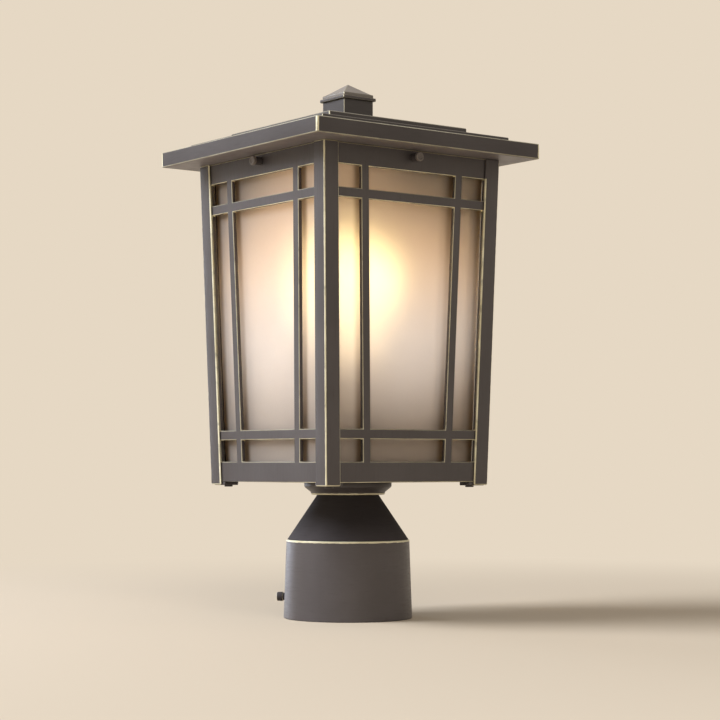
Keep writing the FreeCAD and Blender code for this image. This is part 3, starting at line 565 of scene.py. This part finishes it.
def make_thumb_screw(quarter, side):
    """Thumb screw with a threaded shank, a plain neck and a fluted head with a dimple in it."""
    low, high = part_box("thumb_screw_front")
    level = (low.z + high.z) / 2
    tip, end = -high.y, -low.y
    seat = end - 2.1 * MM
    neck = seat - 5.0 * MM
    crown = end - 0.35 * MM
    head_radius = (high.x - low.x) / 2
    neck_radius = 2.6 * MM
    tip_radius = dimple_radius = 1.5 * MM
    flutes = 24
    rings = [ring(tip, tip_radius)] + thread(tip + 0.3 * MM, neck, 1.95 * MM, 0.35 * MM, M4_PITCH)
    rings += [ring(neck, neck_radius), ring(seat, neck_radius)]
    # The shank's darker bronze is painted shade under the head.
    shank = (len(rings) - 1, BRONZE_PAINTED_SHADE)
    rings.append(ring(seat, head_radius - 0.3 * MM))
    rings += [ring(height, head_radius, 0.16 * MM, flutes) for height in (seat + 0.3 * MM, crown)]
    rings += [ring(end, head_radius - 0.4 * MM), ring(end, dimple_radius + 0.4 * MM)]
    rings.append(ring(end - 0.4 * MM, dimple_radius))
    stand = Matrix.Translation((0.0, 0.0, level)) @ Matrix.Rotation(math.pi / 2, 4, "X")
    place = Matrix.Rotation(quarter * math.pi / 2, 4, "Z") @ stand
    screw = turned(f"thumb_knob_{side}", f"{side}_thumb_screw", BRONZE_KNOB_HIGHLIGHT_AND_WEAR, rings,
                   sides=4 * flutes, place=place, shank=shank)
    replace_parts(screw, f"thumb_screw_{side}")


def make_set_screw_thread(number, heading):
    """Thread on a clamping screw's shank, between two distances from the post's axis."""
    start, end = 38.75 * MM, 43.6 * MM
    low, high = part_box(f"set_screw_{number}")
    level = Matrix.Translation((0.0, 0.0, (low.z + high.z) / 2))
    turn = Matrix.Rotation(math.radians(heading), 4, "Z")
    place = turn @ level @ Matrix.Rotation(math.pi / 2, 4, "Y")
    crest = thread(start, end, 2.52 * MM, 0.25 * MM, M5_PITCH)
    body = "set_screw_one" if number == 1 else "set_screw_two"
    turned(f"set_screw_thread_{number}", body, BRONZE_PAINTED_SHADE, crest + thinner(crest, 0.4 * MM),
           hollow=True, sides=24, place=place)


make_bulb_base()
make_holder_shell()
make_riser()
make_tie_rod()
for quarter, side in enumerate(SIDES):
    make_thumb_screw(quarter, side)
make_set_screw_thread(1, 135.0)
make_set_screw_thread(2, 45.0)


# ---------------------------------------------------------------- floor, light and camera
BACKGROUND = (0.791, 0.687, 0.552, 1.0)
FLOOR_COLOUR = (0.580, 0.486, 0.365, 1.0)
FLOOR_RADIUS = 6.0
FLOOR_SIDES = 96
FADE_START, FADE_END = 0.22, 0.85
WORLD_COLOUR = (1.0, 0.95, 0.90, 1.0)
WORLD_STRENGTH = 0.28
LANTERN_MIDDLE = (0.0, 0.0, 0.17)


def surroundings(tree, plain):
    """A blend of a plain shader with the background colour, and a value that is 1 for some rays.

    Those are camera, glossy and transmission rays, which only look at the background. It is 0 for
    the rays that light the lantern.
    """
    path = tree.nodes.new("ShaderNodeLightPath")
    seen = path.outputs["Is Camera Ray"]
    for other in ("Is Glossy Ray", "Is Transmission Ray"):
        either = tree.nodes.new("ShaderNodeMath")
        either.operation = "MAXIMUM"
        tree.links.new(seen, either.inputs[0])
        tree.links.new(path.outputs[other], either.inputs[1])
        seen = either.outputs["Value"]
    kind = "ShaderNodeBackground" if plain.type == "BACKGROUND" else "ShaderNodeEmission"
    backdrop = tree.nodes.new(kind)
    backdrop.inputs["Color"].default_value = BACKGROUND
    blend = tree.nodes.new("ShaderNodeMixShader")
    tree.links.new(plain.outputs[0], blend.inputs[1])
    tree.links.new(backdrop.outputs[0], blend.inputs[2])
    return blend, seen


def make_world():
    """Dim warm light from all round, with the background colour where it is looked at."""
    world = bpy.data.worlds.new("studio")
    bpy.context.scene.world = world
    world.use_nodes = True
    tree = world.node_tree
    plain = tree.nodes["Background"]
    plain.inputs["Color"].default_value = WORLD_COLOUR
    plain.inputs["Strength"].default_value = WORLD_STRENGTH
    blend, seen = surroundings(tree, plain)
    tree.links.new(seen, blend.inputs["Fac"])
    tree.links.new(blend.outputs["Shader"], tree.nodes["World Output"].inputs["Surface"])


def make_floor():
    """Round floor that takes the shadow near the lantern and runs out into the background."""
    mesh = bpy.data.meshes.new("floor")
    angles = [corner * math.tau / FLOOR_SIDES for corner in range(FLOOR_SIDES)]
    rim = [(FLOOR_RADIUS * math.cos(angle), FLOOR_RADIUS * math.sin(angle), 0.0) for angle in angles]
    mesh.from_pydata(rim, [], [tuple(range(FLOOR_SIDES))])
    floor = bpy.data.objects.new("floor", mesh)
    bpy.context.scene.collection.objects.link(floor)
    shader = Shader("pale_floor", Base_Color=FLOOR_COLOUR, Roughness=0.9, Specular_IOR_Level=0.1)
    shader.bump(shader.noise(220.0, 3.0), 0.3 * MM, 0.1)
    far = shader.step(shader.from_point((0.0, 0.0, 0.0)), FADE_START, FADE_END)
    blend, seen = surroundings(shader.tree, shader.surface)
    shader.put(blend.inputs["Fac"], shader.math("MULTIPLY", seen, far))
    shader.put(shader.tree.nodes["Material Output"].inputs["Surface"], blend.outputs["Shader"])
    mesh.materials.append(shader.material)


def lamp(name, place, aim, size, power, colour):
    """Round area light, turned to the point that it aims at."""
    data = bpy.data.lights.new(name, "AREA")
    data.shape = "DISK"
    data.size = size
    data.energy = power
    data.color = colour
    item = bpy.data.objects.new(name, data)
    item.location = place
    item.rotation_euler = (Vector(aim) - Vector(place)).to_track_quat("-Z", "Y").to_euler()
    bpy.context.scene.collection.objects.link(item)


def make_camera():
    """Camera at the photograph's viewing angle: below the lantern's middle, looking slightly up."""
    azimuth = math.radians(-36.64)
    pitch = math.radians(3.007)
    distance = 1.2852
    height = 0.1031
    data = bpy.data.cameras.new("camera")
    data.sensor_width = 36.0
    data.lens = 96.58
    data.shift_x = 0.0168
    data.clip_start = 0.05
    data.clip_end = 50.0
    camera = bpy.data.objects.new("camera", data)
    camera.location = (distance * math.sin(azimuth), -distance * math.cos(azimuth), height)
    level = math.cos(pitch)
    ahead = Vector((-math.sin(azimuth) * level, math.cos(azimuth) * level, math.sin(pitch)))
    camera.rotation_euler = ahead.to_track_quat("-Z", "Y").to_euler()
    bpy.context.scene.collection.objects.link(camera)
    bpy.context.scene.camera = camera


make_world()
make_floor()
lamp("key_light", place=(-1.75, 0.9, 1.85), aim=LANTERN_MIDDLE, size=1.6, power=96.0,
     colour=(0.92, 0.98, 1.10))
lamp("fill_light", place=(-0.9, -1.75, 2.1), aim=LANTERN_MIDDLE, size=1.4, power=17.5,
     colour=(1.0, 0.95, 0.90))
lamp("rim_light", place=(-0.1, 2.3, 0.4), aim=(0.0, 0.0, 0.1), size=0.9, power=16.0,
     colour=(0.85, 0.95, 1.15))
make_camera()

scene = bpy.context.scene
scene.view_settings.view_transform = "Standard"
